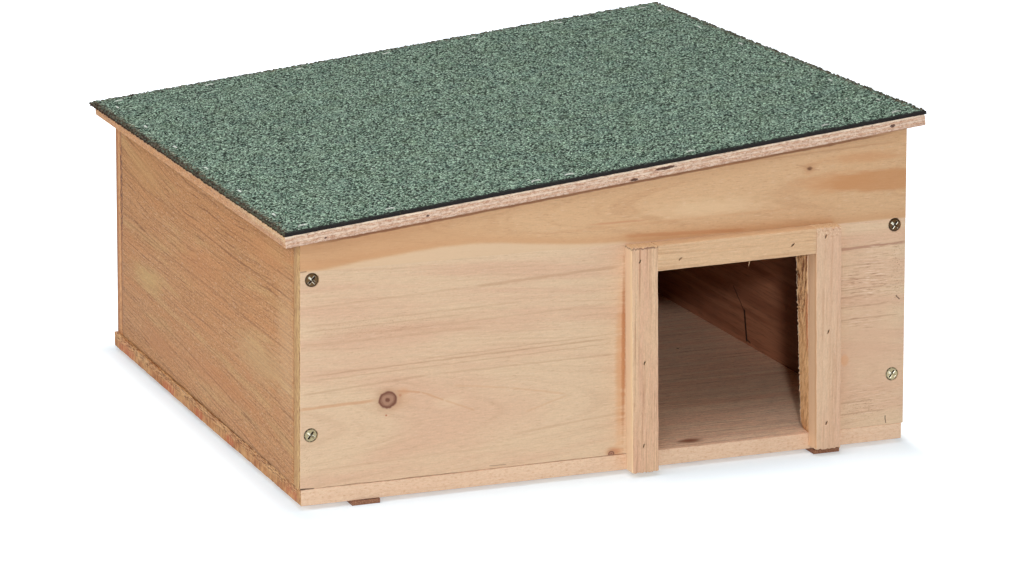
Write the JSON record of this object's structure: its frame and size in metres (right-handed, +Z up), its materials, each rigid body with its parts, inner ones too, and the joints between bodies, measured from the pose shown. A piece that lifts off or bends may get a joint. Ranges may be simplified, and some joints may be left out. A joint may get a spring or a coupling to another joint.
{
  "type": "hedgehog house",
  "caption": "Low wooden hedgehog house with a framed off-centre doorway, an inner partition, two foot strips and a felted pent roof that lifts off.",
  "frame": {"origin": "centre of the bottom of the box that holds the whole house, on the ground", "axes": "+X to the right as seen from the front, towards the high wall; +Y from the doorway's face to the back; +Z up"},
  "size_m": [0.4208, 0.43, 0.2149],
  "materials": {
    "foot_strips": "rough-sawn, dark reddish brown",
    "floor_boards": "bare planed softwood",
    "lower_boards": "bare planed softwood, pinkish tan",
    "upper_boards": "bare planed softwood, orange tan",
    "left_board": "bare planed softwood, slanting grain",
    "trim_battens": "bare rough-sawn softwood",
    "plywood": "bare plywood with open edges",
    "roofing_felt": "bitumen felt with green mineral granules",
    "yellow_zinc": "yellow-passivated zinc",
    "bright_steel": "bright drawn wire"
  },
  "bodies": {
    "house": {"foot_strip_left": "foot_strips", "foot_strip_right": "foot_strips", "floor_board_front": "floor_boards", "floor_board_middle": "floor_boards", "floor_board_rear": "floor_boards", "front_wall_lower_board": "lower_boards", "front_wall_upper_board": "upper_boards", "back_wall_lower_board": "lower_boards", "back_wall_upper_board": "upper_boards", "left_wall_board": "left_board", "right_wall_lower_board": "lower_boards", "right_wall_upper_board": "upper_boards", "partition_board": "lower_boards", "door_post_left": "trim_battens", "door_post_right": "trim_battens", "door_lintel": "trim_battens", "front_wall_screws": "yellow_zinc", "back_wall_screws": "yellow_zinc", "door_trim_brads": "bright_steel", "floor_nails": "bright_steel", "partition_nails": "bright_steel", "foot_strip_pins": "bright_steel"},
    "roof": {"roof_board": "plywood", "roof_felt": "roofing_felt", "roof_batten_left": "trim_battens", "roof_batten_right": "trim_battens", "roof_batten_pins": "bright_steel", "felt_staples": "bright_steel"}
  },
  "joints": [
    {"name": "roof_lift", "type": "slide", "parent": "house", "child": "roof", "axis": [0, 0, 1], "range_m": [0, 0.25]}
  ]
}
